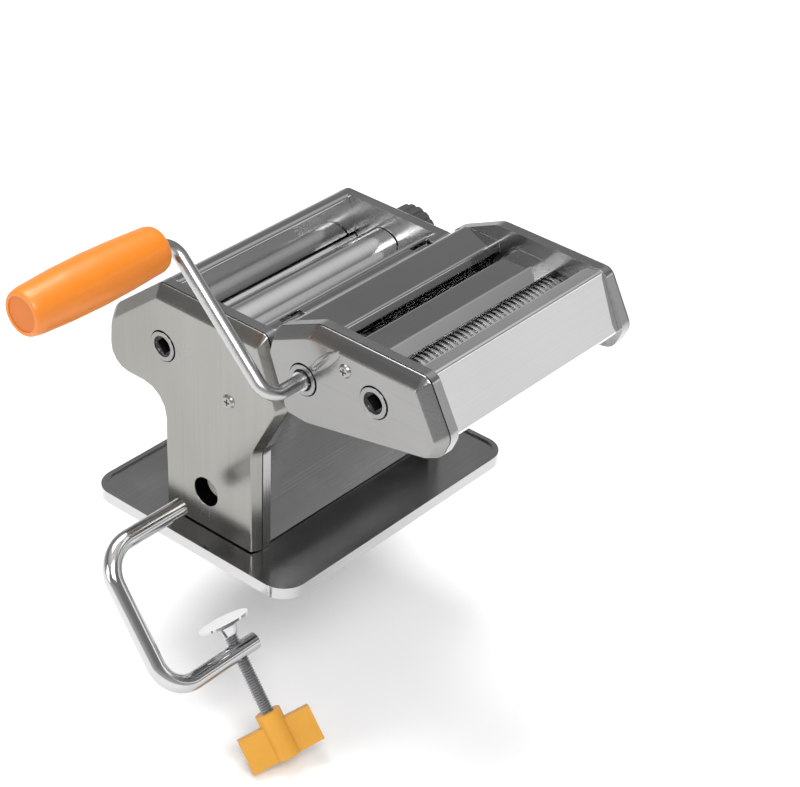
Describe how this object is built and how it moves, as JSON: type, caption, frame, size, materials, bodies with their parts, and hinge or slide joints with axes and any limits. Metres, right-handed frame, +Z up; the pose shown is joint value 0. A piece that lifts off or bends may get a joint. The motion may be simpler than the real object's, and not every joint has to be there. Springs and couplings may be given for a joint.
{
  "type": "pasta machine",
  "caption": "Hand-cranked pasta roller with adjustable smooth rollers, a lift-off two-width noodle cutter unit, a removable crank and a screw table clamp.",
  "frame": {"origin": "centre of the base's underside, on the table surface", "axes": "+X along the rollers away from the crank, -Y towards the cutter unit, +Z up"},
  "size_m": [0.3106, 0.244, 0.3179],
  "materials": {
    "dark_steel": "mirror polished stainless sheet",
    "foot_rubber": "moulded",
    "plate_steel": "bright cold rolled sheet",
    "cover_steel": "polished, faintly warm",
    "unit_cover_steel": "polished",
    "mirror_steel": "mirror polished",
    "panel_steel": "mirror polished, bright",
    "turned_steel": "turned",
    "screw_steel": "plated",
    "bush_nylon": "machined nylon",
    "sleeve_bronze": "machined bronze",
    "roller_steel": "ground and plated",
    "gear_steel": "cut teeth",
    "dial_plastic": "moulded, fine texture",
    "clamp_chrome": "plated rod",
    "zinc_steel": "blue zinc plated",
    "ochre_plastic": "moulded",
    "crank_chrome": "satin plated rod",
    "orange_grip": "satin moulded",
    "orange_cap": "moulded",
    "cutter_steel": "machined and plated"
  },
  "bodies": {
    "frame": {"base_plate": "dark_steel", "rubber_feet": "foot_rubber", "near_side_plate": "plate_steel", "far_side_plate": "plate_steel", "near_side_cover": "cover_steel", "far_side_cover": "cover_steel", "rear_cover": "mirror_steel", "hopper_front": "mirror_steel", "front_panel": "mirror_steel", "exit_chute": "dark_steel", "tie_rods": "turned_steel", "cover_screws": "screw_steel", "base_screws": "screw_steel", "roller_scrapers": "plate_steel", "drive_bushes": "bush_nylon", "adjust_bushes": "bush_nylon", "dial_plate": "plate_steel", "unit_rails": "plate_steel"},
    "smooth_drive": {"drive_roller": "roller_steel", "drive_gear": "gear_steel"},
    "adjuster": {"adjust_shaft": "turned_steel", "dial_spring": "turned_steel", "dial_washer": "turned_steel", "dial_screw": "screw_steel"},
    "float": {"float_sleeve": "sleeve_bronze"},
    "smooth_idler": {"idler_roller": "roller_steel", "idler_gear": "gear_steel"},
    "dial": {"adjust_dial": "dial_plastic"},
    "clamp_liner": {"clamp_bush": "bush_nylon"},
    "clamp": {"clamp_rod": "clamp_chrome"},
    "pad": {"swivel_pad": "clamp_chrome"},
    "clamp_spindle": {"clamp_screw": "zinc_steel", "wing_knob": "ochre_plastic"},
    "cutter_unit": {"unit_near_plate": "plate_steel", "unit_far_plate": "plate_steel", "unit_near_cover": "unit_cover_steel", "unit_far_cover": "unit_cover_steel", "unit_rear_guide": "mirror_steel", "unit_middle_guide": "mirror_steel", "unit_front_panel": "panel_steel", "unit_tongues": "plate_steel", "unit_tie_rods": "turned_steel", "unit_screws": "screw_steel", "unit_bushes": "bush_nylon", "wide_combs": "plate_steel", "narrow_combs": "plate_steel"},
    "wide_drive": {"wide_drive_cutter": "cutter_steel", "wide_drive_gear": "gear_steel"},
    "wide_idler": {"wide_idler_cutter": "cutter_steel", "wide_idler_gear": "gear_steel"},
    "narrow_drive": {"narrow_drive_cutter": "cutter_steel", "narrow_drive_gear": "gear_steel"},
    "narrow_idler": {"narrow_idler_cutter": "cutter_steel", "narrow_idler_gear": "gear_steel"},
    "crank": {"crank_rod": "crank_chrome"},
    "grip": {"crank_grip": "orange_grip", "grip_cap": "orange_cap"}
  },
  "joints": [
    {"name": "smooth_drive_turn", "type": "hinge", "parent": "frame", "child": "smooth_drive", "pos_m": [0, 0.03, 0.1136], "axis": [1, 0, 0], "continuous": true},
    {"name": "gap_turn", "type": "hinge", "parent": "frame", "child": "adjuster", "pos_m": [0, 0.00331, 0.12331], "axis": [1, 0, 0], "range_deg": [0, 180]},
    {"name": "bush_turn", "type": "hinge", "parent": "adjuster", "child": "float", "pos_m": [0, 0.00228, 0.12369], "axis": [1, 0, 0], "range_deg": [-180, 0]},
    {"name": "smooth_idler_turn", "type": "hinge", "parent": "float", "child": "smooth_idler", "pos_m": [0, 0.00228, 0.12369], "axis": [1, 0, 0], "continuous": true},
    {"name": "dial_pull", "type": "slide", "parent": "adjuster", "child": "dial", "axis": [1, 0, 0], "range_m": [0, 0.004], "stiffness_N_per_m": 600, "springref_m": -0.01},
    {"name": "unit_lift", "type": "slide", "parent": "frame", "child": "cutter_unit", "axis": [0, 0.3649, 0.9311], "range_m": [0, 0.05]},
    {"name": "wide_drive_turn", "type": "hinge", "parent": "cutter_unit", "child": "wide_drive", "pos_m": [0, -0.0736, 0.1382], "axis": [1, 0, 0], "continuous": true},
    {"name": "wide_idler_turn", "type": "hinge", "parent": "cutter_unit", "child": "wide_idler", "pos_m": [0, -0.0932, 0.14164], "axis": [1, 0, 0], "continuous": true},
    {"name": "narrow_drive_turn", "type": "hinge", "parent": "cutter_unit", "child": "narrow_drive", "pos_m": [0, -0.1219, 0.146], "axis": [1, 0, 0], "continuous": true},
    {"name": "narrow_idler_turn", "type": "hinge", "parent": "cutter_unit", "child": "narrow_idler", "pos_m": [0, -0.1415, 0.14944], "axis": [1, 0, 0], "continuous": true},
    {"name": "crank_pull", "type": "slide", "parent": "wide_drive", "child": "crank", "axis": [-1, 0, 0], "range_m": [0, 0.03]},
    {"name": "grip_spin", "type": "hinge", "parent": "crank", "child": "grip", "pos_m": [-0.15, -0.00526, 0.20419], "axis": [1, 0, 0], "continuous": true},
    {"name": "clamp_swing", "type": "hinge", "parent": "frame", "child": "clamp_liner", "pos_m": [-0.08, -0.0016, 0.0313], "axis": [1, 0, 0], "range_deg": [0, 73]},
    {"name": "clamp_slide", "type": "slide", "parent": "clamp_liner", "child": "clamp", "axis": [1, 0, 0], "range_m": [0, 0.055]},
    {"name": "pad_travel", "type": "slide", "parent": "clamp", "child": "pad", "axis": [0, 0.5948, 0.8039], "range_m": [-0.004, 0.014]},
    {"name": "screw_turn", "type": "hinge", "parent": "pad", "child": "clamp_spindle", "pos_m": [-0.1095, -0.04145, -0.02256], "axis": [0, 0.5948, 0.8039], "range_deg": [-1153, 4033]}
  ],
  "couplings": [
    {"joint": "bush_turn", "follows": "gap_turn", "ratio": -1},
    {"joint": "smooth_idler_turn", "follows": "smooth_drive_turn", "ratio": -1},
    {"joint": "wide_idler_turn", "follows": "wide_drive_turn", "ratio": -1},
    {"joint": "narrow_idler_turn", "follows": "narrow_drive_turn", "ratio": -1},
    {"joint": "screw_turn", "follows": "pad_travel", "rad_per_m": 5026.5}
  ]
}
